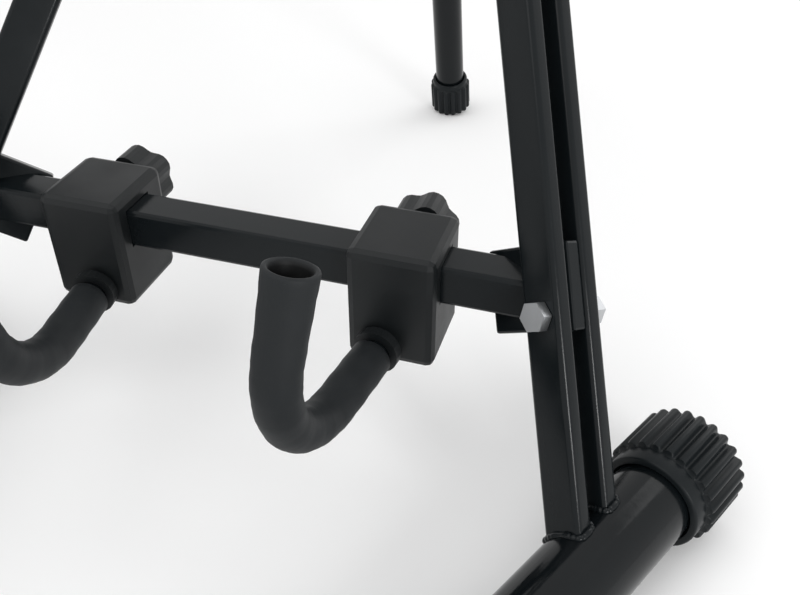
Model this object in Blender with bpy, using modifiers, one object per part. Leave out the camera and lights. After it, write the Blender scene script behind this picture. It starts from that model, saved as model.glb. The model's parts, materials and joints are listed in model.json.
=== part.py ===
"""Guitar stand: two floor tubes, twin-bar posts, a top hub, padded J arms, a neck yoke and a rear leg.

Units are metres in the scene; the sizes below are millimetres and are multiplied by MM.
The frame has X across the stand, Y to the back and Z up, with the floor at Z = 0 and the
plane of symmetry at X = 0. The right-hand pieces are modelled and the left ones are their
mirror images.
"""

import math

import bmesh
import bpy
from mathutils import Matrix, Vector

MM = 0.001
GAP = 0.3                                # clearance between pieces that touch

CENTRE_Y = 116.5                         # puts the origin under the middle of the stand

# floor tubes and their end caps
TUBE_R = 16.0
TUBE_WALL = 1.5
TUBE_POINT = Vector((68.9, -148.3 - CENTRE_Y, 22.0))
TUBE_DIR = Vector((0.438, 0.899, 0.0)).normalized()
TUBE_FRONT = -28.0                       # cap's front face, along the tube from TUBE_POINT
TUBE_REAR = 256.0                        # cap's rear face
CAP_R = 22.0
CAP_TEETH = 24
CAP_RIB_DEPTH = 2.2
CAP_RIB_LENGTH = 25.0
CAP_COLLAR_LENGTH = 7.0
CAP_COLLAR_R = 19.4
CAP_FLOOR = 3.5

# twin-bar posts
POST_DIR = Vector((-0.269, 0.542, 0.796)).normalized()
POST_FOOT = Vector((144.65, 28.15 - CENTRE_Y, 32.27))
BAR_WIDE = 16.0
BAR_THICK = 7.6
BAR_EDGE = 1.5
BAR_OFFSET = 7.435                       # each bar's centre from the pair's centre
BAR_TOP = 441.1
FRONT_BAR_BASE = -8.0
REAR_BAR_BASE = -2.0

# crossbar between the posts
CROSSBAR_SIDE = 16.0
CROSSBAR_Y = 78.0 - CENTRE_Y
CROSSBAR_Z = 90.0
LUG_AT = 72.5                            # its height along the post
LUG_THICK = 6.6

# hub, stem and yoke
HUB_AT = 424.6
HUB_BLOCK = Vector((31.5, 25.0, 44.0))
STEM_POINT = Vector((0.0, 271.2 - CENTRE_Y, 390.9))
STEM_DIR = Vector((0.0, 0.29, 0.957)).normalized()
STEM_R = 8.0
STEM_BOTTOM, STEM_TOP = -40.0, 245.0
HUB_CORE = Vector((34.0, 34.0, 80.0))
STEM_KNOB_AT = 27.0
YOKE_AT = 254.0
YOKE_R = 4.0
YOKE_SLEEVE_R = 8.0
YOKE_BEND_R = 38.0
YOKE_PRONG = 46.0

# rear leg
PIN_POINT = Vector((0.0, 303.2 - CENTRE_Y, 375.9))
PIN_R = 4.0
LEG_ANGLE = math.radians(15.0)
LEG_LENGTH = 385.5
LEG_R = 9.5
LEG_WALL = 1.5
LUG_HALF = 7.3
EAR_THICK = 6.0
FOOT_R = 13.5

# J arms on their carriages
ARM_CORNER = Vector((48.7, -24.2 - CENTRE_Y, 65.2))
ARM_UP = Vector((0.103, 0.293, 1.0)).normalized()
ARM_BACK = Vector((0.143, 1.0, 0.0)).normalized()
ARM_BEND_R = 38.5
ARM_R = 5.5
SLEEVE_R = 7.8
SLEEVE_FLARE = 1.09
SLEEVE_TIP = 79.8
SLEEVE_BACK = 78.0
ROD_SHORT = 12.0                         # the rod ends this far below the sleeve's mouth
CARRIAGE = Vector((34.0, 36.0, 47.5))
CARRIAGE_Y, CARRIAGE_Z = 80.0 - CENTRE_Y, 80.25

# knobs and bolts
KNOB_R, KNOB_THICK, KNOB_LOBES = 13.0, 15.0, 5
STUD_R = 3.0
BOLT_R, BOLT_HEAD_R, BOLT_HEAD = 3.0, 5.6, 4.0

FINISHES = {
    "tube": ((0.012, 0.012, 0.013), 0.16, 0.0),
    "bar": ((0.014, 0.014, 0.015), 0.30, 0.0),
    "casting": ((0.016, 0.016, 0.017), 0.42, 0.0),
    "rubber": ((0.030, 0.031, 0.032), 0.85, 0.0),
    "cap": ((0.018, 0.018, 0.019), 0.55, 0.0),
    "plastic": ((0.015, 0.015, 0.016), 0.45, 0.0),
    "zinc": ((0.45, 0.45, 0.46), 0.35, 1.0),
}


def clear_scene():
    for obj in list(bpy.data.objects):
        bpy.data.objects.remove(obj, do_unlink=True)


def new_collection(name):
    collection = bpy.data.collections.new(name)
    bpy.context.scene.collection.children.link(collection)
    return collection


def finish_material(name):
    material = bpy.data.materials.get(name)
    if material is None:
        colour, roughness, metallic = FINISHES[name]
        material = bpy.data.materials.new(name)
        material.use_nodes = True
        shader = material.node_tree.nodes["Principled BSDF"]
        shader.inputs["Base Color"].default_value = (*colour, 1.0)
        shader.inputs["Roughness"].default_value = roughness
        shader.inputs["Metallic"].default_value = metallic
        material.diffuse_color = (*colour, 1.0)
    return material


def placed(origin, z_axis, x_hint):
    """A matrix in metres whose Z follows z_axis and whose X leans to x_hint; origin in mm."""
    z = z_axis.normalized()
    x = (x_hint - z * x_hint.dot(z)).normalized()
    y = z.cross(x)
    turn = Matrix((x, y, z)).transposed().to_4x4()
    return Matrix.Translation(origin * MM) @ turn


def add_object(name, mesh, matrix, finish, collection):
    obj = bpy.data.objects.new(name, mesh)
    obj.matrix_world = matrix
    collection.objects.link(obj)
    if finish:
        mesh.materials.clear()
        mesh.materials.append(finish_material(finish))
    else:
        obj.hide_render = True
        obj.display_type = "WIRE"
    return obj


def mesh_of(bm, name):
    mesh = bpy.data.meshes.new(name)
    bm.to_mesh(mesh)
    bm.free()
    return mesh


def box(name, size, matrix, finish, collection, edge=0.0, shift=(0.0, 0.0, 0.0)):
    """A block of size mm, centred at shift in the matrix's frame, its edges rounded by edge."""
    bm = bmesh.new()
    bmesh.ops.create_cube(bm, size=1.0)
    bmesh.ops.scale(bm, vec=Vector(size) * MM, verts=bm.verts)
    bmesh.ops.translate(bm, vec=Vector(shift) * MM, verts=bm.verts)
    if edge:
        bmesh.ops.bevel(bm, geom=bm.edges[:], offset=edge * MM, segments=2, profile=0.5,
                        affect="EDGES", material=-1)
    return add_object(name, mesh_of(bm, name), matrix, finish, collection)


def cylinder(name, radius, low, high, matrix, finish, collection, sides=24):
    bm = bmesh.new()
    bmesh.ops.create_cone(bm, cap_ends=True, segments=sides, radius1=radius * MM,
                          radius2=radius * MM, depth=(high - low) * MM)
    bmesh.ops.translate(bm, vec=(0.0, 0.0, (low + high) / 2 * MM), verts=bm.verts)
    return add_object(name, mesh_of(bm, name), matrix, finish, collection)


def turned(name, profile, matrix, finish, collection, sides=24):
    """Turn a closed profile of (radius, height) in mm that runs down its outer side."""
    bm = bmesh.new()
    verts = [bm.verts.new((radius * MM, 0.0, height * MM)) for radius, height in profile]
    for first, second in zip(verts, verts[1:]):
        bm.edges.new((first, second))
    if profile[0][0] > 0.0:
        bm.edges.new((verts[-1], verts[0]))
    obj = add_object(name, mesh_of(bm, name), matrix, finish, collection)
    screw = obj.modifiers.new("turn", "SCREW")
    screw.axis = "Z"
    screw.steps = sides
    screw.render_steps = sides
    screw.use_merge_vertices = True
    screw.merge_threshold = 0.00001
    return obj


def outline_solid(name, points, low, high, matrix, finish, collection):
    """Extrude a closed outline of (x, y) in mm from low to high."""
    bm = bmesh.new()
    verts = [bm.verts.new((x * MM, y * MM, low * MM)) for x, y in points]
    face = bm.faces.new(verts)
    grown = bmesh.ops.extrude_face_region(bm, geom=[face])
    top = [v for v in grown["geom"] if isinstance(v, bmesh.types.BMVert)]
    bmesh.ops.translate(bm, vec=(0.0, 0.0, (high - low) * MM), verts=top)
    bmesh.ops.recalc_face_normals(bm, faces=bm.faces)
    return add_object(name, mesh_of(bm, name), matrix, finish, collection)


def swept(name, points, radius, finish, collection, sides_level=2, scales=None):
    """A round rod along points in mm, as a curve made into a closed mesh."""
    curve = bpy.data.curves.new(name, "CURVE")
    curve.dimensions = "3D"
    curve.bevel_depth = radius * MM
    curve.bevel_resolution = sides_level
    curve.use_fill_caps = True
    spline = curve.splines.new("POLY")
    spline.points.add(len(points) - 1)
    for index, point in enumerate(points):
        spline.points[index].co = (*(Vector(point) * MM), 1.0)
        if scales:
            spline.points[index].radius = scales[index]
    guide = bpy.data.objects.new(name + "_guide", curve)
    collection.objects.link(guide)
    bpy.context.view_layer.update()
    evaluated = guide.evaluated_get(bpy.context.evaluated_depsgraph_get())
    mesh = bpy.data.meshes.new_from_object(evaluated)
    bm = bmesh.new()
    bm.from_mesh(mesh)
    bmesh.ops.remove_doubles(bm, verts=bm.verts, dist=0.000001)
    bmesh.ops.recalc_face_normals(bm, faces=bm.faces)
    bm.to_mesh(mesh)
    bm.free()
    bpy.data.objects.remove(guide, do_unlink=True)
    return add_object(name, mesh, Matrix.Identity(4), finish, collection)


def boolean(obj, other, operation="DIFFERENCE"):
    modifier = obj.modifiers.new(operation.lower() + "_" + other.name, "BOOLEAN")
    modifier.operation = operation
    modifier.solver = "EXACT"
    modifier.object = other
    return obj


def mirrored(obj, name, collection):
    """The mirror image of obj in the plane X = 0, as its own mesh."""
    bpy.context.view_layer.update()
    evaluated = obj.evaluated_get(bpy.context.evaluated_depsgraph_get())
    mesh = bpy.data.meshes.new_from_object(evaluated)
    mesh.name = name
    mesh.transform(Matrix.Diagonal((-1.0, 1.0, 1.0, 1.0)) @ obj.matrix_world)
    bm = bmesh.new()
    bm.from_mesh(mesh)
    bmesh.ops.reverse_faces(bm, faces=bm.faces)
    bm.to_mesh(mesh)
    bm.free()
    origin = obj.matrix_world.translation.copy()
    origin.x = -origin.x
    mesh.transform(Matrix.Translation(-origin))
    twin = bpy.data.objects.new(name, mesh)
    twin.location = origin
    collection.objects.link(twin)
    return twin


def bend_points(corner, up, back, radius, up_end, back_end, steps):
    """Points down a shaft along -up, round a bend of the given radius and out along back."""
    half = 0.5 * up.angle(back)
    tangent = radius / math.tan(half)
    centre = corner + (up + back).normalized() * (radius / math.sin(half))
    first = corner + up * tangent - centre
    last = corner + back * tangent - centre
    sweep = first.angle(last)
    points = [corner + up * up_end, corner + up * (tangent + up_end) / 2]
    for step in range(steps + 1):
        share = step / steps
        blend = first * math.sin((1 - share) * sweep) + last * math.sin(share * sweep)
        points.append(centre + blend / math.sin(sweep))
    points.append(corner + back * back_end)
    return points


def ribbed_outline(radius, teeth, depth):
    """Rounded ribs with hollow valleys between them."""
    points = []
    for index in range(teeth * 4):
        angle = 2 * math.pi * (index + 0.0) / (teeth * 4)
        share = 0.5 + 0.5 * math.cos(teeth * angle)
        reach = radius - depth * (1 - share) ** 1.6
        points.append((reach * math.cos(angle), reach * math.sin(angle)))
    return points


def ribbed_cap(name, end, outward, bore_r, radius, teeth, rib_depth, rib_length, collar, parts, cutters):
    """A push-on cap: ribs on its closed end, a plain collar at its mouth."""
    matrix = placed(end, -outward, Vector((0.0, 0.0, -1.0)))
    cap = outline_solid(name, ribbed_outline(radius, teeth, rib_depth), 0.0, rib_length, matrix, "cap", parts)
    collar_r, collar_length = collar
    ring = cylinder(name + "_collar", collar_r, rib_length - 4.0, rib_length + collar_length, matrix,
                    None, cutters, 32)
    boolean(cap, ring, "UNION")
    bore = cylinder(name + "_bore", bore_r + GAP, CAP_FLOOR, rib_length + collar_length + 2.0, matrix,
                    None, cutters, 32)
    return boolean(cap, bore)


def post_frame(at):
    """The frame of the right pair of bars at a distance along the post: X across the gap."""
    return placed(POST_FOOT + POST_DIR * at, POST_DIR, TUBE_DIR)


def build_floor_tubes(parts, cutters):
    rear = TUBE_POINT + TUBE_DIR * TUBE_REAR
    front = TUBE_POINT + TUBE_DIR * TUBE_FRONT
    matrix = placed(front, TUBE_DIR, Vector((0.0, 0.0, 1.0)))
    length = TUBE_REAR - TUBE_FRONT
    low, high = CAP_FLOOR + GAP, length - CAP_FLOOR - GAP
    inner = TUBE_R - TUBE_WALL
    tube = turned("right_floor_tube", [(TUBE_R, high), (TUBE_R, low), (inner, low), (inner, high)],
                  matrix, "tube", parts, 36)
    mirrored(tube, "left_floor_tube", parts)
    for name, end, outward in (("cap_rear", rear, TUBE_DIR), ("cap_front", front, -TUBE_DIR)):
        cap = ribbed_cap("right_" + name, end, outward, TUBE_R, CAP_R, CAP_TEETH, CAP_RIB_DEPTH,
                         CAP_RIB_LENGTH, (CAP_COLLAR_R, CAP_COLLAR_LENGTH), parts, cutters)
        mirrored(cap, "left_" + name, parts)


def bolt_hole(name, at, reach, cutters):
    frame = post_frame(at)
    across = frame.to_3x3() @ Vector((1.0, 0.0, 0.0))
    along = frame.to_3x3() @ Vector((0.0, 0.0, 1.0))
    matrix = placed(frame.translation / MM, across, along)
    return cylinder(name, BOLT_R + GAP, -reach, reach, matrix, None, cutters, 12)


def build_posts(parts, cutters):
    tube_matrix = placed(TUBE_POINT, TUBE_DIR, Vector((0.0, 0.0, 1.0)))
    tube = cylinder("post_cope", TUBE_R + GAP, 0.0, 240.0, tube_matrix, None, cutters, 36)
    hub_hole = bolt_hole("post_hub_hole", HUB_AT, 30.0, cutters)
    lug_hole = bolt_hole("post_lug_hole", LUG_AT, 30.0, cutters)
    for name, side, base in (("front", -1.0, FRONT_BAR_BASE), ("rear", 1.0, REAR_BAR_BASE)):
        length = BAR_TOP - base
        matrix = post_frame(base)
        bm_shift = (side * BAR_OFFSET, 0.0, length / 2)
        bar = box("right_post_" + name, (BAR_THICK, BAR_WIDE, length), matrix, "bar", parts,
                  BAR_EDGE, bm_shift)
        for cutter in (tube, hub_hole, lug_hole):
            boolean(bar, cutter)
        mirrored(bar, "left_post_" + name, parts)


def bolt_and_nut(name, at, half, parts, cutters):
    """A hexagon-head bolt across the twin bars with a nut behind them."""
    frame = post_frame(at)
    across = frame.to_3x3() @ Vector((1.0, 0.0, 0.0))
    along = frame.to_3x3() @ Vector((0.0, 0.0, 1.0))
    matrix = placed(frame.translation / MM, across, along)
    face = half + GAP
    bolt = cylinder("right_" + name + "_bolt", BOLT_HEAD_R, -face - BOLT_HEAD, -face, matrix, "zinc", parts, 6)
    shank = cylinder(name + "_shank", BOLT_R, -face - BOLT_HEAD / 2, face + 7.5, matrix, None, cutters, 12)
    boolean(bolt, shank, "UNION")
    mirrored(bolt, "left_" + name + "_bolt", parts)
    nut = cylinder("right_" + name + "_nut", BOLT_HEAD_R, face, face + 5.5, matrix, "zinc", parts, 6)
    hole = cylinder(name + "_nut_hole", BOLT_R + GAP, face - 2.0, face + 9.0, matrix, None, cutters, 12)
    boolean(nut, hole)
    mirrored(nut, "left_" + name + "_nut", parts)


def build_crossbar(parts, cutters):
    centre = placed(Vector((0.0, CROSSBAR_Y, CROSSBAR_Z)), Vector((0.0, 0.0, 1.0)), Vector((1.0, 0.0, 0.0)))
    bar = box("crossbar", (267.0, CROSSBAR_SIDE, CROSSBAR_SIDE), centre, "bar", parts, 1.5)
    frame = post_frame(LUG_AT)
    bars_half = BAR_OFFSET + BAR_THICK / 2 + GAP
    pair = box("crossbar_pair_cut", (2 * bars_half, BAR_WIDE + 2 * GAP, 90.0), frame, None, cutters)
    slab_low = -LUG_THICK / 2 - GAP
    slab = box("crossbar_slab_cut", (60.0, 140.0, 140.0), frame, None, cutters, 0.0, (slab_low + 30.0, 0.0, 0.0))
    for cutter in (pair, slab):
        boolean(bar, cutter)
        boolean(bar, mirrored(cutter, cutter.name + "_left", cutters))
    for obj in cutters.objects:
        obj.hide_render = True
        obj.display_type = "WIRE"
    lug = box("right_lug", (LUG_THICK, 37.5, 31.0), frame, "bar", parts, 1.0, (0.0, 11.25, 9.5))
    boolean(lug, bolt_hole("lug_hole", LUG_AT, 30.0, cutters))
    mirrored(lug, "left_lug", parts)


def build_hub(parts, cutters):
    core_frame = placed(STEM_POINT, STEM_DIR, Vector((1.0, 0.0, 0.0)))
    hub = box("hub", HUB_CORE, core_frame, "casting", parts, 4.0, (0.0, 0.0, 2.0))
    block = box("hub_block", HUB_BLOCK, post_frame(HUB_AT), None, cutters, 4.0)
    for piece in (block, mirrored(block, "hub_block_left", cutters)):
        boolean(hub, piece, "UNION")
    upright = placed(PIN_POINT, Vector((0.0, 0.0, 1.0)), Vector((1.0, 0.0, 0.0)))
    for side in (-1.0, 1.0):
        centre = side * (LUG_HALF + GAP + EAR_THICK / 2)
        ear = box("hub_ear" + str(int(side)), (EAR_THICK, 40.0, 24.0), upright, None, cutters, 1.5,
                  (centre, -8.0, 0.0))
        boolean(hub, ear, "UNION")
    reach = BAR_TOP + GAP - (HUB_AT - 40.0)
    for side in (-1.0, 1.0):
        socket = box("hub_socket" + str(int(side)), (BAR_THICK + 2 * GAP, BAR_WIDE + 2 * GAP, reach),
                     post_frame(HUB_AT - 40.0), None, cutters, 0.0, (side * BAR_OFFSET, 0.0, reach / 2))
        boolean(hub, socket)
        boolean(hub, mirrored(socket, socket.name + "_left", cutters))
    boolean(hub, cylinder("hub_bore", STEM_R + GAP, -60.0, 60.0, core_frame, None, cutters, 32))
    hole = bolt_hole("hub_bolt_hole", HUB_AT, 30.0, cutters)
    boolean(hub, hole)
    boolean(hub, mirrored(hole, "hub_bolt_hole_left", cutters))
    across = placed(PIN_POINT, Vector((1.0, 0.0, 0.0)), Vector((0.0, 0.0, 1.0)))
    boolean(hub, cylinder("hub_pin_hole", PIN_R + GAP, -20.0, 20.0, across, None, cutters, 20))
    knob_frame = stem_knob_frame()
    boolean(hub, cylinder("hub_stud_hole", STUD_R + GAP, 4.0, 30.0, knob_frame, None, cutters, 12))


def stem_knob_frame():
    rearward = STEM_DIR.cross(Vector((-1.0, 0.0, 0.0)))
    if rearward.y < 0.0:
        rearward = -rearward
    return placed(STEM_POINT + STEM_DIR * STEM_KNOB_AT, rearward, Vector((1.0, 0.0, 0.0)))


def knob_and_stud(name, matrix, face, stud_low, parts, cutters):
    """A lobed hand knob on a steel stud; face is where the knob starts along its axis."""
    points = []
    for index in range(KNOB_LOBES * 8):
        angle = 2 * math.pi * index / (KNOB_LOBES * 8)
        reach = KNOB_R - 2.4 * (0.5 - 0.5 * math.cos(KNOB_LOBES * angle)) ** 1.4
        points.append((reach * math.cos(angle), reach * math.sin(angle)))
    knob = outline_solid(name + "_knob", points, face + 3.0, face + KNOB_THICK, matrix, "plastic", parts)
    neck = cylinder(name + "_neck", 7.0, face, face + 6.0, matrix, None, cutters, 20)
    boolean(knob, neck, "UNION")
    hole = cylinder(name + "_knob_hole", STUD_R + GAP, face - 2.0, face + 9.0, matrix, None, cutters, 12)
    boolean(knob, hole)
    stud = cylinder(name + "_stud", STUD_R, stud_low, face + 8.5, matrix, "zinc", parts, 12)
    return knob, stud


def build_stem(parts, cutters):
    frame = placed(STEM_POINT, STEM_DIR, Vector((1.0, 0.0, 0.0)))
    inner = STEM_R - 1.2
    turned("stem", [(STEM_R, STEM_TOP), (STEM_R, STEM_BOTTOM), (inner, STEM_BOTTOM), (inner, STEM_TOP)],
           frame, "tube", parts, 28)
    knob_and_stud("stem", stem_knob_frame(), HUB_CORE.y / 2 + GAP + 0.2, STEM_R + GAP, parts, cutters)


def yoke_path():
    frame = placed(STEM_POINT + STEM_DIR * YOKE_AT, STEM_DIR, Vector((1.0, 0.0, 0.0)))
    local = [(-YOKE_BEND_R - 4.0, -YOKE_BEND_R - YOKE_PRONG, 6.0)]
    for step in range(13):
        angle = math.pi + math.pi * step / 12
        local.append((YOKE_BEND_R * math.cos(angle), -YOKE_BEND_R - YOKE_BEND_R * math.sin(angle), 0.0))
    local.append((YOKE_BEND_R + 4.0, -YOKE_BEND_R - YOKE_PRONG, 6.0))
    return [(frame @ (Vector(point) * MM)) / MM for point in local]


def build_yoke(parts, cutters):
    frame = placed(STEM_POINT + STEM_DIR * YOKE_AT, STEM_DIR, Vector((1.0, 0.0, 0.0)))
    head = box("yoke_head", (26.0, 28.0, 34.0), frame, "plastic", parts, 4.0, (0.0, 0.0, -7.0))
    socket_top = STEM_TOP + GAP - YOKE_AT
    boolean(head, cylinder("yoke_socket", STEM_R + GAP, -40.0, socket_top, frame, None, cutters, 28))
    path = yoke_path()
    boolean(head, swept("yoke_rod_cut", path, YOKE_R + 2 * GAP, None, cutters, 1))
    rod_path = list(path)
    rod_path[0] = path[1].lerp(path[0], 0.85)
    rod_path[-1] = path[-2].lerp(path[-1], 0.85)
    swept("yoke_rod", rod_path, YOKE_R, "zinc", parts, 1)
    for name, points in (("left", path[:6]), ("right", path[-6:])):
        sleeve = swept("yoke_sleeve_" + name, points, YOKE_SLEEVE_R, "rubber", parts, 2)
        start = Vector(points[0]) + (Vector(points[0]) - Vector(points[1])).normalized() * 3.0
        stop = Vector(points[-1]) + (Vector(points[-1]) - Vector(points[-2])).normalized() * 3.0
        bore = swept("yoke_sleeve_bore_" + name, [start] + points[1:-1] + [stop], YOKE_R + 2 * GAP, None,
                     cutters, 1)
        boolean(sleeve, bore)


def build_rear_leg(parts, cutters):
    down = Vector((0.0, math.sin(LEG_ANGLE), -math.cos(LEG_ANGLE)))
    frame = placed(PIN_POINT, down, Vector((1.0, 0.0, 0.0)))
    lug = box("rear_leg_lug", (2 * LUG_HALF, 20.0, 34.0), frame, "casting", parts, 1.5, (0.0, 0.0, 7.0))
    inner = LEG_R - LEG_WALL
    boolean(lug, cylinder("lug_plug", inner - GAP, 20.0, 44.0, frame, None, cutters, 24), "UNION")
    across = placed(PIN_POINT, Vector((1.0, 0.0, 0.0)), Vector((0.0, 0.0, 1.0)))
    boolean(lug, cylinder("lug_pin_hole", PIN_R + GAP, -20.0, 20.0, across, None, cutters, 20))
    low, high = 24.0 + GAP, LEG_LENGTH - CAP_FLOOR - GAP
    turned("rear_leg", [(LEG_R, high), (LEG_R, low), (inner, low), (inner, high)], frame, "tube", parts, 28)
    foot_end = PIN_POINT + down * LEG_LENGTH
    ribbed_cap("rear_foot", foot_end, down, LEG_R, FOOT_R, 16, 1.6, 20.0, (11.8, 4.0), parts, cutters)
    ear_out = LUG_HALF + GAP + EAR_THICK + GAP
    pin = cylinder("hinge_pin", 6.5, ear_out, ear_out + 4.0, across, "zinc", parts, 6)
    boolean(pin, cylinder("pin_shank", PIN_R, -ear_out - 7.0, ear_out + 2.0, across, None, cutters, 20), "UNION")
    nut = cylinder("hinge_nut", 6.5, -ear_out - 5.5, -ear_out, across, "zinc", parts, 6)
    boolean(nut, cylinder("hinge_nut_hole", PIN_R + GAP, -40.0, -ear_out + 2.0, across, None, cutters, 20))


def build_arms(parts, cutters):
    path = bend_points(ARM_CORNER, ARM_UP, ARM_BACK, ARM_BEND_R, SLEEVE_TIP, SLEEVE_BACK, 9)
    scales = [SLEEVE_FLARE, 1.02] + [1.0] * (len(path) - 2)
    sleeve = swept("right_arm_sleeve", path, SLEEVE_R, "rubber", parts, 3, scales)
    start = path[0] + ARM_UP * 3.0
    stop = path[-1] + ARM_BACK * 3.0
    boolean(sleeve, swept("arm_sleeve_bore", [start] + path[1:-1] + [stop], ARM_R + GAP, None, cutters, 2))
    mirrored(sleeve, "left_arm_sleeve", parts)
    rod_path = bend_points(ARM_CORNER, ARM_UP, ARM_BACK, ARM_BEND_R, SLEEVE_TIP - ROD_SHORT, 132.0, 9)
    rod = swept("right_arm_rod", rod_path, ARM_R, "tube", parts, 2)
    mirrored(rod, "left_arm_rod", parts)
    middle = ARM_CORNER + ARM_BACK * ((CARRIAGE_Y - ARM_CORNER.y) / ARM_BACK.y)
    arm_frame = placed(middle, ARM_BACK, Vector((1.0, 0.0, 0.0)))
    half = CARRIAGE.y / 2 / ARM_BACK.y
    bore = ARM_R + GAP
    for name, low, high in (("collar", -half - 6.4, -half - 2.4), ("end_clip", half + 2.4, half + 6.4)):
        ring = turned("right_arm_" + name, [(9.0, high), (9.0, low), (bore, low), (bore, high)],
                      arm_frame, "plastic", parts, 24)
        mirrored(ring, "left_arm_" + name, parts)
    centre = Vector((middle.x, CARRIAGE_Y, CARRIAGE_Z))
    upright = placed(centre, Vector((0.0, 0.0, 1.0)), Vector((1.0, 0.0, 0.0)))
    carriage = box("right_carriage", CARRIAGE, upright, "plastic", parts, 3.0)
    hole_side = CROSSBAR_SIDE + 2 * GAP
    boolean(carriage, box("carriage_slot", (60.0, hole_side, hole_side), upright, None, cutters, 0.0,
                          (0.0, CROSSBAR_Y - CARRIAGE_Y, CROSSBAR_Z - CARRIAGE_Z)))
    boolean(carriage, cylinder("carriage_bore", ARM_R + GAP, -40.0, 40.0, arm_frame, None, cutters, 24))
    knob_frame = placed(Vector((middle.x, CROSSBAR_Y, CROSSBAR_Z)), Vector((0.0, 1.0, 0.0)), Vector((1.0, 0.0, 0.0)))
    boolean(carriage, cylinder("carriage_stud_hole", STUD_R + GAP, 4.0, 30.0, knob_frame, None, cutters, 12))
    mirrored(carriage, "left_carriage", parts)
    face = CARRIAGE_Y + CARRIAGE.y / 2 - CROSSBAR_Y + 0.5
    knob, stud = knob_and_stud("right_carriage", knob_frame, face, CROSSBAR_SIDE / 2 + GAP, parts, cutters)
    mirrored(knob, "left_carriage_knob", parts)
    mirrored(stud, "left_carriage_stud", parts)


def main():
    clear_scene()
    parts = new_collection("guitar_stand")
    cutters = new_collection("guitar_stand_cutters")
    build_floor_tubes(parts, cutters)
    build_posts(parts, cutters)
    build_crossbar(parts, cutters)
    build_hub(parts, cutters)
    bolt_and_nut("hub", HUB_AT, HUB_BLOCK.x / 2, parts, cutters)
    bolt_and_nut("lug", LUG_AT, BAR_OFFSET + BAR_THICK / 2, parts, cutters)
    build_stem(parts, cutters)
    build_yoke(parts, cutters)
    build_rear_leg(parts, cutters)
    build_arms(parts, cutters)
    for obj in cutters.objects:
        obj.hide_render = True
        obj.display_type = "WIRE"
    for obj in parts.objects:
        if hasattr(obj.data, "shade_smooth"):
            obj.data.shade_smooth()
            obj.data.set_sharp_from_angle(angle=math.radians(35.0))


main()
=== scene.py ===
"""Looks for a black guitar stand: gloss tubes, painted bars, ribbed caps and rubber-sleeved arms.

Sizes that this script shares with the solid model are millimetres and are multiplied by MM.
"""

import json
import math

import bmesh
import bpy
from mathutils import Matrix, Vector


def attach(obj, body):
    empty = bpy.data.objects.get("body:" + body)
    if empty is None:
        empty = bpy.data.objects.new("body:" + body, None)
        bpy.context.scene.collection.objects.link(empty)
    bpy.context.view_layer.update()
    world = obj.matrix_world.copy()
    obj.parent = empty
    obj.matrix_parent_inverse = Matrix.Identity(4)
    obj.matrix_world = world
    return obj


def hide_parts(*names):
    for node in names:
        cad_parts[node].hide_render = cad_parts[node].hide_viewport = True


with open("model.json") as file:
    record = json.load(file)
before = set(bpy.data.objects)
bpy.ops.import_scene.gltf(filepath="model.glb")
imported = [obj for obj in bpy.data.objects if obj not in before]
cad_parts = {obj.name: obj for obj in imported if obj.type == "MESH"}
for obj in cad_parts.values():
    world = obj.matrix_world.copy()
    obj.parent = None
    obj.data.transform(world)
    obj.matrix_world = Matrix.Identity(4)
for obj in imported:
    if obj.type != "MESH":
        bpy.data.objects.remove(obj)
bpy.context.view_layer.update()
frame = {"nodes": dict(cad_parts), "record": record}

bl_info = {
    "name": "Guitar Stand",
    "version": (1, 0, 0),
    "blender": (4, 5, 0),
    "location": "View3D > Sidebar > Guitar Stand",
    "description": "Finishes of a tubular guitar stand with padded arms",
    "category": "Object",
}

MM = 0.001
GAP = 0.3                               # clearance between neighbouring pieces
CENTRE_Y = 116.5
TUBE_POINT = Vector((68.9, -148.3 - CENTRE_Y, 22.0))
TUBE_DIR = Vector((0.438, 0.899, 0.0)).normalized()
TUBE_R, TUBE_WALL = 16.0, 1.5
TUBE_FRONT, TUBE_REAR = -28.0, 256.0
CAP_FLOOR, CAP_COLLAR_LENGTH, CAP_RIB_LENGTH = 3.5, 7.0, 25.0
CAP_R, CAP_TEETH, CAP_RIB_DEPTH, CAP_COLLAR_R = 22.0, 24, 2.2, 19.4
POST_DIR = Vector((-0.269, 0.542, 0.796)).normalized()
POST_FOOT = Vector((144.65, 28.15 - CENTRE_Y, 32.27))
BAR_WIDE, BAR_THICK, BAR_OFFSET, BAR_TOP = 16.0, 7.6, 7.435, 441.1
BAR_BASE = {"front": -8.0, "rear": -2.0}
BAR_ROUND = 2.2
WELD_STEPS, WELD_RIPPLE = 150, 1.7
STEM_POINT = Vector((0.0, 271.2 - CENTRE_Y, 390.9))
STEM_DIR = Vector((0.0, 0.29, 0.957)).normalized()
STEM_R, STEM_WALL, STEM_BOTTOM, STEM_TOP = 8.0, 1.2, -40.0, 245.0
PIN_POINT = Vector((0.0, 303.2 - CENTRE_Y, 375.9))
LEG_ANGLE = math.radians(15.0)
LEG_DIR = Vector((0.0, math.sin(LEG_ANGLE), -math.cos(LEG_ANGLE)))
LEG_LENGTH, LEG_R, LEG_WALL, LEG_UNDER_LUG = 385.5, 9.5, 1.5, 24.0
FOOT_R, FOOT_TEETH, FOOT_RIB_DEPTH, FOOT_RIB_LENGTH = 13.5, 16, 1.6, 20.0
FOOT_COLLAR_R, FOOT_COLLAR_LENGTH = 11.8, 4.0
ARM_CORNER = Vector((48.7, -24.2 - CENTRE_Y, 65.2))
ARM_UP = Vector((0.103, 0.293, 1.0)).normalized()
ARM_BACK = Vector((0.143, 1.0, 0.0)).normalized()
ARM_BEND_R, ARM_R, ARM_BACK_END = 38.5, 5.5, 132.0
SLEEVE_R, SLEEVE_FLARE = 7.8, 1.09
SLEEVE_TIP, SLEEVE_BACK, ROD_SHORT = 79.8, 78.0, 12.0

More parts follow.
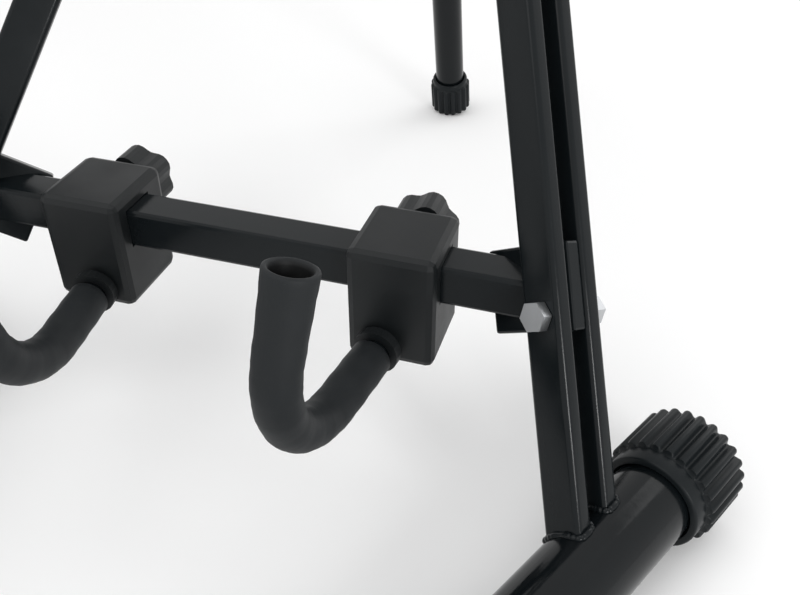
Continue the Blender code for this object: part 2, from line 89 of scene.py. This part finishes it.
TUBE_ROLL = 6.0                         # how far a tube's outside is rolled into its bore
SLEEVE_RIPPLES = ((0.08, 0.55, 0.0), (0.05, 1.3, 1.0))    # mm high, radians per mm, phase
ROD_SIDES, SLEEVE_SIDES, WELD_SIDES, SIDES_PER_TOOTH = 40, 72, 14, 14
CLOUD_SCALE = 45.0                      # noise per metre: one cloud in about 22 mm
SQUARED = 0.45                          # a power of the sine that squares a loop towards corners

# a Mix node's colour sockets
MIX_A, MIX_B, MIX_RESULT = 6, 7, 2

PHOTO_WIDTH, PHOTO_FOCAL = 800.0, 900.0
FLOOR_HALF = 12.0
CAMERA_AT = Vector((0.1445, -0.3017, 0.2824))
CAMERA_RIGHT = Vector((0.9544, 0.2984, 0.0027))
CAMERA_DOWN = Vector((0.1813, -0.5726, -0.7995))
CAMERA_FORWARD = Vector((-0.2370, 0.7636, -0.6006))


def linear(hex_colour):
    """A hex sRGB colour as linear RGBA."""
    channels = [int(hex_colour[i:i + 2], 16) / 255 for i in (0, 2, 4)]
    return tuple(c / 12.92 if c <= 0.04045 else ((c + 0.055) / 1.055) ** 2.4 for c in channels) + (1.0,)


def node(tree, kind, inputs=None, settings=None, links=None):
    """Adds a node, sets its properties and sockets, and links (socket, node, output) into it."""
    made = tree.nodes.new(kind)
    for key, value in (settings or {}).items():
        setattr(made, key, value)
    for key, value in (inputs or {}).items():
        made.inputs[key].default_value = value
    for key, (source, output) in (links or {}).items():
        tree.links.new(source.outputs[output], made.inputs[key])
    return made


class Finish:
    """Builds one finish: a base with cloudy variation, fine speckle, painted shade from a depth attribute
    and a bump, in object space.
    """

    def __init__(self, name, base, tone, dust, roughness, dust_amount, grain_mm, bump, specular=0.5,
                 metallic=0.0, dust_mm=0.7):
        material = bpy.data.materials.new(name)
        material.use_nodes = True
        tree = material.node_tree
        shader = tree.nodes["Principled BSDF"]
        place = node(tree, "ShaderNodeTexCoord")
        cloud = node(tree, "ShaderNodeTexNoise", {"Scale": CLOUD_SCALE, "Detail": 4.0, "Roughness": 0.6},
                     links={"Vector": (place, "Object")})
        speck = node(tree, "ShaderNodeTexNoise",
                     {"Scale": 1.0 / (dust_mm * MM), "Detail": 2.0, "Roughness": 0.7},
                     links={"Vector": (place, "Object")})
        grain = node(tree, "ShaderNodeTexNoise", {"Scale": 1.0 / (grain_mm * MM), "Detail": 3.0},
                     links={"Vector": (place, "Object")})
        mixed = node(tree, "ShaderNodeMix", settings={"data_type": "RGBA"}, links={0: (cloud, "Fac")})
        mixed.inputs[MIX_A].default_value = linear(base)
        mixed.inputs[MIX_B].default_value = linear(tone)
        patch = node(tree, "ShaderNodeMapRange",
                     {"From Min": 0.45, "From Max": 0.75, "To Min": 0.2, "To Max": 1.0},
                     links={"Value": (cloud, "Fac")})
        gate = node(tree, "ShaderNodeMapRange", {"From Min": 0.66, "From Max": 0.74, "To Min": 0.0,
                                                 "To Max": dust_amount}, links={"Value": (speck, "Fac")})
        share = node(tree, "ShaderNodeMath", settings={"operation": "MULTIPLY"},
                     links={0: (patch, "Result"), 1: (gate, "Result")})
        dusty = node(tree, "ShaderNodeMix", settings={"data_type": "RGBA"},
                     links={0: (share, "Value"), MIX_A: (mixed, MIX_RESULT)})
        dusty.inputs[MIX_B].default_value = linear(dust)
        # painted shade: the vertex attribute "depth" runs to 1 inside a sleeve's mouth and mixes the base
        # towards black
        inside = node(tree, "ShaderNodeAttribute", settings={"attribute_name": "depth"})
        shaded = node(tree, "ShaderNodeMix", settings={"data_type": "RGBA"},
                      links={0: (inside, "Fac"), MIX_A: (dusty, MIX_RESULT)})
        shaded.inputs[MIX_B].default_value = linear("020202")
        tree.links.new(shaded.outputs[MIX_RESULT], shader.inputs["Base Color"])
        rough = node(tree, "ShaderNodeMapRange", {"From Min": 0.3, "From Max": 0.7,
                                                  "To Min": max(roughness - 0.05, 0.02),
                                                  "To Max": min(roughness + 0.07, 1.0)},
                     links={"Value": (cloud, "Fac")})
        tree.links.new(rough.outputs["Result"], shader.inputs["Roughness"])
        relief = node(tree, "ShaderNodeBump", {"Strength": bump, "Distance": grain_mm * MM * 0.3},
                      links={"Height": (grain, "Fac")})
        tree.links.new(relief.outputs["Normal"], shader.inputs["Normal"])
        shader.inputs["Metallic"].default_value = metallic
        shader.inputs["Specular IOR Level"].default_value = specular
        self.material = material


FINISHES = {}


def make_finishes():
    # powder coat, gloss black: a faint orange peel under a wet-looking surface
    FINISHES["gloss_tube"] = Finish(
        "powder_coat_gloss_black", "0B0E10", "0F1315", "232729", roughness=0.12, dust_amount=0.15,
        grain_mm=2.6, bump=0.03, specular=0.22).material
    # sprayed enamel, semi-gloss black: softer highlights along the bars' edges
    FINISHES["satin_bar"] = Finish(
        "enamel_semi_gloss_black", "0F1315", "14181A", "2E3234", roughness=0.19, dust_amount=0.15,
        grain_mm=1.4, bump=0.05, specular=0.18).material
    # sand-cast alloy under wrinkle paint: a fine pebbled skin
    FINISHES["casting"] = Finish(
        "wrinkle_paint_black", "0F1214", "161A1B", "3C3F41", roughness=0.45, dust_amount=0.25,
        grain_mm=0.7, bump=0.55, specular=0.3).material
    # extruded rubber sleeve: dull charcoal with pale dust in its pores
    FINISHES["sleeve_rubber"] = Finish(
        "rubber_extruded_charcoal", "15181A", "1E2123", "54585A", roughness=0.58, dust_amount=0.30,
        grain_mm=0.5, bump=0.25, specular=0.25, dust_mm=0.5).material
    # moulded rubber: darker and a little shiny on the ribs
    FINISHES["cap_rubber"] = Finish(
        "rubber_moulded_black", "111517", "171B1D", "3A3E40", roughness=0.33, dust_amount=0.20,
        grain_mm=0.6, bump=0.10, specular=0.16).material
    # injection-moulded nylon: even black with a fine spark-eroded texture
    FINISHES["black_plastic"] = Finish(
        "nylon_moulded_black", "0F1214", "151819", "3C3F41", roughness=0.46, dust_amount=0.20,
        grain_mm=0.4, bump=0.30, specular=0.3).material
    # zinc plate over steel: pale grey metal with a soft cloudy sheen
    FINISHES["zinc_steel"] = Finish(
        "zinc_plate_bright", "A9ABAD", "C2C4C6", "77797B", roughness=0.30, dust_amount=0.30,
        grain_mm=0.5, bump=0.12, metallic=1.0).material


def placed(origin, z_axis, x_hint):
    z = z_axis.normalized()
    x = (x_hint - z * x_hint.dot(z)).normalized()
    y = z.cross(x)
    return Matrix.Translation(origin * MM) @ Matrix((x, y, z)).transposed().to_4x4()


MIRROR = Matrix.Diagonal((-1.0, 1.0, 1.0, 1.0))


def finish_piece(name, bm, body, slot, nodes=(), mirror=False, smooth=40.0, deep=None):
    """Turns a bmesh in row coordinates into a named piece on its body."""
    if mirror:
        bmesh.ops.transform(bm, matrix=MIRROR, verts=bm.verts)
    bmesh.ops.remove_doubles(bm, verts=bm.verts, dist=0.000002)
    bmesh.ops.recalc_face_normals(bm, faces=bm.faces)
    mesh = bpy.data.meshes.new(name)
    bm.to_mesh(mesh)
    bm.free()
    mesh.materials.append(FINISHES[slot])
    # deep gives each vertex's painted shade, kept as the "depth" attribute that darkens the finish
    if deep is not None:
        depth = mesh.attributes.new("depth", "FLOAT", "POINT")
        for vert, item in zip(mesh.vertices, depth.data):
            item.value = deep(vert.co)
    piece = bpy.data.objects.new(name, mesh)
    bpy.context.scene.collection.objects.link(piece)
    mesh.shade_smooth()
    mesh.set_sharp_from_angle(angle=math.radians(smooth))
    if nodes:
        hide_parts(*nodes)
    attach(piece, body)
    return piece


def ring_solid(rings, sides, shape=None):
    """A closed body through rings of (matrix, radius, amount).

    Where there is a shape, shape(angle) times the amount comes off the radius.
    """
    bm = bmesh.new()
    start = bmesh.ops.create_circle(bm, cap_ends=False, segments=sides, radius=1.0)["verts"]
    local = {vert: vert.co.copy() for vert in start}
    order = list(start)

    def place(verts, matrix, radius, amount):
        for vert, model in zip(verts, order):
            unit = local[model]
            angle = math.atan2(unit.y, unit.x)
            reach = radius if shape is None else radius - shape(angle) * amount
            vert.co = matrix @ Vector((unit.x * reach * MM, unit.y * reach * MM, 0.0))

    matrix, radius, amount = rings[0]
    place(start, matrix, radius, amount)
    edges = list(bm.edges)
    bm.faces.new(start)
    previous = start
    for matrix, radius, amount in rings[1:]:
        grown = bmesh.ops.extrude_edge_only(bm, edges=edges)["geom"]
        verts = [item for item in grown if isinstance(item, bmesh.types.BMVert)]
        edges = [item for item in grown if isinstance(item, bmesh.types.BMEdge)]
        known = set(previous)
        partner = {}
        for vert in verts:
            for edge in vert.link_edges:
                other = edge.other_vert(vert)
                if other in known:
                    partner[other] = vert
        verts = [partner[vert] for vert in previous]
        place(verts, matrix, radius, amount)
        previous = verts
    bm.faces.new(list(reversed(previous)))
    return bm


def along(matrix, distance):
    return matrix @ Matrix.Translation((0.0, 0.0, distance * MM))


def tube_rings(matrix, low, high, outer, inner):
    """A hollow tube's outside, rolled into its bore at both ends."""
    return [(along(matrix, low + TUBE_ROLL), inner, 0), (along(matrix, low + 0.6), inner, 0),
            (along(matrix, low), inner + 0.5, 0), (along(matrix, low), outer - 0.5, 0),
            (along(matrix, low + 0.5), outer, 0), (along(matrix, high - 0.5), outer, 0),
            (along(matrix, high), outer - 0.5, 0), (along(matrix, high), inner + 0.5, 0),
            (along(matrix, high - 0.6), inner, 0), (along(matrix, high - TUBE_ROLL), inner, 0)]


def path_frames(points):
    """A frame at each point of a path, turned as little as possible from one to the next."""
    frames = []
    x_axis = Vector((1.0, 0.0, 0.0))
    for index, point in enumerate(points):
        before = points[max(index - 1, 0)]
        after = points[min(index + 1, len(points) - 1)]
        z_axis = (after - before).normalized()
        frames.append(placed(point, z_axis, x_axis))
        x_axis = frames[-1].to_3x3() @ Vector((1.0, 0.0, 0.0))
    return frames


def arm_points(up_end, back_end, steps):
    half = 0.5 * ARM_UP.angle(ARM_BACK)
    tangent = ARM_BEND_R / math.tan(half)
    centre = ARM_CORNER + (ARM_UP + ARM_BACK).normalized() * (ARM_BEND_R / math.sin(half))
    first = ARM_CORNER + ARM_UP * tangent - centre
    last = ARM_CORNER + ARM_BACK * tangent - centre
    sweep = first.angle(last)
    points = []
    for step in range(10):
        share = step / 10
        points.append(ARM_CORNER + ARM_UP * (up_end + (tangent - up_end) * share))
    for step in range(steps + 1):
        share = step / steps
        blend = first * math.sin((1 - share) * sweep) + last * math.sin(share * sweep)
        points.append(centre + blend / math.sin(sweep))
    for step in range(1, 9):
        share = step / 8
        points.append(ARM_CORNER + ARM_BACK * (tangent + (back_end - tangent) * share))
    return points


def sleeve_rings(points, outer, bore, mouth_depth, flare):
    """From deep in the mouth, over the lip, along the outside to the plain far end."""
    frames = path_frames(points)
    tip = frames[0]
    rings = [(along(tip, mouth_depth), bore, 0), (along(tip, mouth_depth - 0.3), bore + 0.1, 0),
             (along(tip, 2.0), bore + 0.25, 0), (along(tip, 0.7), bore + 0.7, 0),
             (along(tip, 0.15), bore + 1.2, 0), (along(tip, 0.0), outer * flare - 0.9, 0),
             (along(tip, 0.35), outer * flare - 0.2, 0)]
    run = 0.0
    for index, matrix in enumerate(frames[:-1]):
        if index:
            run += (points[index] - points[index - 1]).length
        swell = 1.0 + (flare - 1.0) * math.exp(-(run / 14.0) ** 1.5)
        wave = sum(height * math.sin(run * pace + phase) for height, pace, phase in SLEEVE_RIPPLES)
        rings.append((matrix if index else along(tip, 1.2), outer * swell + wave * min(run / 8.0, 1.0), 0))
    rings += [(along(frames[-1], -0.5), outer, 0), (frames[-1], outer - 0.5, 0),
              (frames[-1], bore + 0.2, 0)]
    return rings


class StandSizes(bpy.types.PropertyGroup):
    smoothness: bpy.props.IntProperty(name="Smoothness", description="Sides of each round piece",
                                      default=96, min=24, max=192)
    weld_bead: bpy.props.FloatProperty(name="Weld bead", description="Radius of the weld's bead",
                                       default=0.0015, unit="LENGTH")
    sleeve_mouth: bpy.props.FloatProperty(name="Sleeve mouth", description="Depth of the sleeve's open end",
                                          default=0.0115, unit="LENGTH")
    floor_colour: bpy.props.FloatVectorProperty(name="Floor", description="Colour of the floor", size=3,
                                                subtype="COLOR", default=(0.93, 0.93, 0.93))


class STAND_OT_finishes(bpy.types.Operator):
    """Gives every carried-over piece of the frame its finish"""
    bl_idname = "stand.finishes"
    bl_label = "Finishes"

    def execute(self, context):
        make_finishes()
        slots = {row["node"]: row["material_slot"] for row in frame["record"]["subparts"]}
        for name, obj in frame["nodes"].items():
            obj.data.materials.clear()
            obj.data.materials.append(FINISHES[slots[name]])
        return {"FINISHED"}


class STAND_OT_tubes(bpy.types.Operator):
    """Makes the floor tubes, the stem, the rear leg and the arms' rods"""
    bl_idname = "stand.tubes"
    bl_label = "Tubes"

    def execute(self, context):
        sides = context.scene.stand_sizes.smoothness
        start = placed(TUBE_POINT, TUBE_DIR, Vector((0.0, 0.0, 1.0)))
        low, high = TUBE_FRONT + CAP_FLOOR + GAP, TUBE_REAR - CAP_FLOOR - GAP
        for side in ("right", "left"):
            bm = ring_solid(tube_rings(start, low, high, TUBE_R, TUBE_R - TUBE_WALL), sides)
            finish_piece(side + "_floor_tube_coated", bm, "frame", "gloss_tube", (side + "_floor_tube",),
                         side == "left")
            points = arm_points(SLEEVE_TIP - ROD_SHORT, ARM_BACK_END, 28)
            frames = path_frames(points)
            rings = [(frames[0], ARM_R - 0.4, 0)] + [(matrix, ARM_R, 0) for matrix in frames]
            rings.append((frames[-1], ARM_R - 0.4, 0))
            bm = ring_solid(rings, ROD_SIDES)
            finish_piece(side + "_arm_rod_coated", bm, side + "_arm", "gloss_tube", (side + "_arm_rod",),
                         side == "left")
        stem = placed(STEM_POINT, STEM_DIR, Vector((1.0, 0.0, 0.0)))
        bm = ring_solid(tube_rings(stem, STEM_BOTTOM, STEM_TOP, STEM_R, STEM_R - STEM_WALL), sides)
        finish_piece("stem_coated", bm, "stem", "gloss_tube", ("stem",))
        leg = placed(PIN_POINT, LEG_DIR, Vector((1.0, 0.0, 0.0)))
        low, high = LEG_UNDER_LUG + GAP, LEG_LENGTH - CAP_FLOOR - GAP
        bm = ring_solid(tube_rings(leg, low, high, LEG_R, LEG_R - LEG_WALL), sides)
        finish_piece("rear_leg_coated", bm, "rear_leg", "gloss_tube", ("rear_leg",))
        return {"FINISHED"}


class STAND_OT_posts(bpy.types.Operator):
    """Makes the twin bars with rounded corners, and the weld beads at their feet"""
    bl_idname = "stand.posts"
    bl_label = "Posts and welds"

    def execute(self, context):
        for side in ("right", "left"):
            for which, sign in (("front", -1.0), ("rear", 1.0)):
                base = BAR_BASE[which]
                bm = bmesh.new()
                bmesh.ops.create_cube(bm, size=1.0)
                length = BAR_TOP - base
                bmesh.ops.scale(bm, vec=Vector((BAR_THICK, BAR_WIDE, length)) * MM, verts=bm.verts)
                bmesh.ops.bevel(bm, geom=bm.edges[:], offset=BAR_ROUND * MM, segments=8, profile=0.5,
                                affect="EDGES", material=-1)
                shift = Vector((sign * BAR_OFFSET, 0.0, length / 2 + base)) * MM
                matrix = placed(POST_FOOT, POST_DIR, TUBE_DIR) @ Matrix.Translation(shift)
                bmesh.ops.transform(bm, matrix=matrix, verts=bm.verts)
                finish_piece(side + "_post_" + which + "_enamelled", bm, "frame", "satin_bar",
                             (side + "_post_" + which,), side == "left", 60.0)
            self.welds(context, side)
        return {"FINISHED"}

    def welds(self, context, side):
        """A rippled bead of weld metal round each bar's foot, where it meets the tube."""
        bead = context.scene.stand_sizes.weld_bead / MM
        turn = placed(POST_FOOT, POST_DIR, TUBE_DIR).to_3x3()
        half_thick, half_wide = BAR_THICK / 2 + GAP, BAR_WIDE / 2 + GAP
        for which, sign in (("front", -1.0), ("rear", 1.0)):
            points = []
            for step in range(WELD_STEPS + 1):
                angle = math.pi * (0.5 + 2.0 * step / WELD_STEPS)
                across = math.copysign(abs(math.sin(angle)) ** SQUARED, math.sin(angle)) * half_wide
                offset = math.copysign(abs(math.cos(angle)) ** SQUARED, math.cos(angle)) * half_thick
                foot = self.meet(POST_FOOT + turn @ Vector((sign * BAR_OFFSET + offset, across, 0.0)),
                                 TUBE_POINT, TUBE_DIR)
                if foot is not None:
                    points.append(foot)
            run, rings = 0.0, []
            for index, matrix in enumerate(path_frames(points)):
                if index:
                    run += (points[index] - points[index - 1]).length
                ripple = abs(math.sin(math.pi * run / WELD_RIPPLE))
                rings.append((matrix, bead * (0.8 + 0.16 * ripple + 0.06 * math.sin(run * 0.9)), 0))
            finish_piece(side + "_post_" + which + "_weld", ring_solid(rings, WELD_SIDES), "frame",
                         "satin_bar", (), side == "left", 180.0)

    @staticmethod
    def meet(point, axis_point, axis):
        """Where a line up the post through point leaves the tube's surface."""
        rel = point - axis_point
        rel -= axis * rel.dot(axis)
        slope = POST_DIR - axis * POST_DIR.dot(axis)
        a, b, c = slope.dot(slope), 2 * rel.dot(slope), rel.dot(rel) - TUBE_R ** 2
        inside = b * b - 4 * a * c
        if inside < 0.0:
            return None
        return point + POST_DIR * ((-b + math.sqrt(inside)) / (2 * a))


class STAND_OT_caps(bpy.types.Operator):
    """Makes the ribbed rubber caps on the floor tubes and the rear leg's foot"""
    bl_idname = "stand.caps"
    bl_label = "Ribbed caps"

    def execute(self, context):
        rear = placed(TUBE_POINT + TUBE_DIR * TUBE_REAR, -TUBE_DIR, Vector((0.0, 0.0, -1.0)))
        front = placed(TUBE_POINT + TUBE_DIR * TUBE_FRONT, TUBE_DIR, Vector((0.0, 0.0, -1.0)))
        for side in ("right", "left"):
            for which, matrix in (("rear", rear), ("front", front)):
                bm = self.cap(matrix, TUBE_R, CAP_R, CAP_TEETH, CAP_RIB_DEPTH, CAP_RIB_LENGTH, CAP_COLLAR_R,
                              CAP_COLLAR_LENGTH)
                finish_piece(side + "_cap_" + which + "_moulded", bm, "frame", "cap_rubber",
                             (side + "_cap_" + which,), side == "left", 50.0)
        foot = placed(PIN_POINT + LEG_DIR * LEG_LENGTH, -LEG_DIR, Vector((0.0, 0.0, -1.0)))
        bm = self.cap(foot, LEG_R, FOOT_R, FOOT_TEETH, FOOT_RIB_DEPTH, FOOT_RIB_LENGTH, FOOT_COLLAR_R,
                      FOOT_COLLAR_LENGTH)
        finish_piece("rear_foot_moulded", bm, "rear_leg", "cap_rubber", ("rear_foot",), False, 50.0)
        return {"FINISHED"}

    @staticmethod
    def cap(matrix, bore, radius, teeth, depth, rib_length, collar_r, collar_length):
        def valley(angle):
            return (0.5 - 0.5 * math.cos(teeth * angle)) ** 1.6

        total = rib_length + collar_length
        rings = [(along(matrix, 0.0), radius - depth - 1.6, 0), (along(matrix, 0.0), radius - 1.2, depth),
                 (along(matrix, 0.35), radius - 0.35, depth), (along(matrix, 1.2), radius, depth),
                 (along(matrix, rib_length - 1.2), radius, depth),
                 (along(matrix, rib_length - 0.3), radius - 0.4, depth * 0.9),
                 (along(matrix, rib_length), collar_r + 0.5, 0),
                 (along(matrix, rib_length + 0.4), collar_r, 0),
                 (along(matrix, total - 0.8), collar_r, 0), (along(matrix, total - 0.2), collar_r - 0.3, 0),
                 (along(matrix, total), collar_r - 0.9, 0), (along(matrix, total), bore + 0.8, 0),
                 (along(matrix, total - 0.6), bore + GAP, 0), (along(matrix, total - 4.0), bore + GAP, 0)]
        return ring_solid(rings, teeth * SIDES_PER_TOOTH, valley)


class STAND_OT_sleeves(bpy.types.Operator):
    """Makes the rubber sleeves of both arms"""
    bl_idname = "stand.sleeves"
    bl_label = "Rubber sleeves"

    def execute(self, context):
        mouth = context.scene.stand_sizes.sleeve_mouth / MM
        for side in ("right", "left"):
            points = arm_points(SLEEVE_TIP, SLEEVE_BACK, 40)
            bm = ring_solid(sleeve_rings(points, SLEEVE_R, ARM_R + GAP, mouth, SLEEVE_FLARE), SLEEVE_SIDES)
            sign = -1.0 if side == "left" else 1.0
            tip, inward = points[0], (points[1] - points[0]).normalized()

            # painted shade in the sleeve's mouth: 0.35 at the lip, fully dark 2.6 mm in, standing in for
            # the shade in the bore
            def deep(place, sign=sign, tip=tip, inward=inward):
                rel = Vector((place.x * sign, place.y, place.z)) / MM - tip
                run = rel.dot(inward)
                out = (rel - inward * run).length
                in_shaded_mouth = out < ARM_R + 1.3 and 0.4 < run < mouth + 1.0
                return min(1.0, 0.35 + run / 4.0) if in_shaded_mouth else 0.0

            finish_piece(side + "_arm_sleeve_rubber", bm, side + "_arm", "sleeve_rubber",
                         (side + "_arm_sleeve",), side == "left", 60.0, deep)
        return {"FINISHED"}


class STAND_OT_stage(bpy.types.Operator):
    """Makes the pale floor, the soft lamps and the camera"""
    bl_idname = "stand.stage"
    bl_label = "Stage"

    def execute(self, context):
        self.floor(context.scene.stand_sizes.floor_colour)
        self.world()
        self.lamp("overhead_softbox", (-0.5, -0.6, 1.4), (0.0, 0.0, 0.1), 1.2, 5.0)
        self.lamp("right_strip", (0.95, -0.75, 0.5), (0.13, -0.1, 0.05), 0.28, 4.5)
        self.lamp("back_softbox", (0.7, 1.0, 0.9), (0.1, 0.0, 0.05), 0.8, 3.0)
        camera_data = bpy.data.cameras.new("camera")
        camera_data.sensor_width = 36.0
        camera_data.lens = PHOTO_FOCAL / PHOTO_WIDTH * 36.0
        camera_data.clip_start = 0.01
        camera = bpy.data.objects.new("camera", camera_data)
        turn = Matrix((CAMERA_RIGHT, -CAMERA_DOWN, -CAMERA_FORWARD)).transposed().to_4x4()
        camera.matrix_world = Matrix.Translation(CAMERA_AT) @ turn
        bpy.context.scene.collection.objects.link(camera)
        bpy.context.scene.camera = camera
        bpy.context.scene.view_settings.view_transform = "Standard"
        return {"FINISHED"}

    @staticmethod
    def floor(colour):
        bm = bmesh.new()
        bmesh.ops.create_grid(bm, x_segments=1, y_segments=1, size=FLOOR_HALF)
        mesh = bpy.data.meshes.new("floor")
        bm.to_mesh(mesh)
        bm.free()
        floor = bpy.data.objects.new("floor", mesh)
        bpy.context.scene.collection.objects.link(floor)
        material = bpy.data.materials.new("paper_white_sweep")
        material.use_nodes = True
        shader = material.node_tree.nodes["Principled BSDF"]
        shader.inputs["Base Color"].default_value = (*colour, 1.0)
        shader.inputs["Roughness"].default_value = 0.9
        shader.inputs["Specular IOR Level"].default_value = 0.1
        mesh.materials.append(material)

    @staticmethod
    def world():
        world = bpy.data.worlds.new("studio")
        bpy.context.scene.world = world
        world.use_nodes = True
        tree = world.node_tree
        tree.nodes.clear()
        rays = node(tree, "ShaderNodeLightPath")
        room = node(tree, "ShaderNodeBackground", {"Color": (1.0, 1.0, 1.0, 1.0), "Strength": 0.85})
        seen = node(tree, "ShaderNodeBackground", {"Color": (1.0, 1.0, 1.0, 1.0), "Strength": 1.0})
        direct = node(tree, "ShaderNodeMath", settings={"operation": "ADD"},
                      links={0: (rays, "Is Camera Ray"), 1: (rays, "Is Glossy Ray")})
        shown = node(tree, "ShaderNodeMath", settings={"operation": "ADD", "use_clamp": True},
                     links={0: (direct, "Value"), 1: (rays, "Is Transmission Ray")})
        mixed = node(tree, "ShaderNodeMixShader", links={"Fac": (shown, "Value"),
                                                         1: (room, "Background"), 2: (seen, "Background")})
        node(tree, "ShaderNodeOutputWorld", links={"Surface": (mixed, "Shader")})

    @staticmethod
    def lamp(name, place, target, size, power):
        data = bpy.data.lights.new(name, "AREA")
        data.size = size
        data.energy = power
        lamp = bpy.data.objects.new(name, data)
        aim = (Vector(target) - Vector(place)).to_track_quat("-Z", "Y")
        lamp.matrix_world = Matrix.Translation(Vector(place)) @ aim.to_matrix().to_4x4()
        bpy.context.scene.collection.objects.link(lamp)


class STAND_PT_panel(bpy.types.Panel):
    """Shows the stand's sizes and its operators' buttons in the sidebar"""
    bl_idname = "STAND_PT_panel"
    bl_label = "Guitar Stand"
    bl_space_type = "VIEW_3D"
    bl_region_type = "UI"
    bl_category = "Guitar Stand"

    def draw(self, context):
        sizes = context.scene.stand_sizes
        for name in ("smoothness", "weld_bead", "sleeve_mouth", "floor_colour"):
            self.layout.prop(sizes, name)
        for operator in OPERATORS:
            self.layout.operator(operator.bl_idname)


OPERATORS = (STAND_OT_finishes, STAND_OT_tubes, STAND_OT_posts, STAND_OT_caps, STAND_OT_sleeves,
             STAND_OT_stage)
CLASSES = (StandSizes,) + OPERATORS + (STAND_PT_panel,)


def register():
    for cls in CLASSES:
        bpy.utils.register_class(cls)
    bpy.types.Scene.stand_sizes = bpy.props.PointerProperty(type=StandSizes)


def unregister():
    del bpy.types.Scene.stand_sizes
    for cls in reversed(CLASSES):
        bpy.utils.unregister_class(cls)


def main():
    register()
    bpy.ops.stand.finishes()
    bpy.ops.stand.tubes()
    bpy.ops.stand.posts()
    bpy.ops.stand.caps()
    bpy.ops.stand.sleeves()
    bpy.ops.stand.stage()
    bpy.context.view_layer.update()


if __name__ == "__main__":
    main()
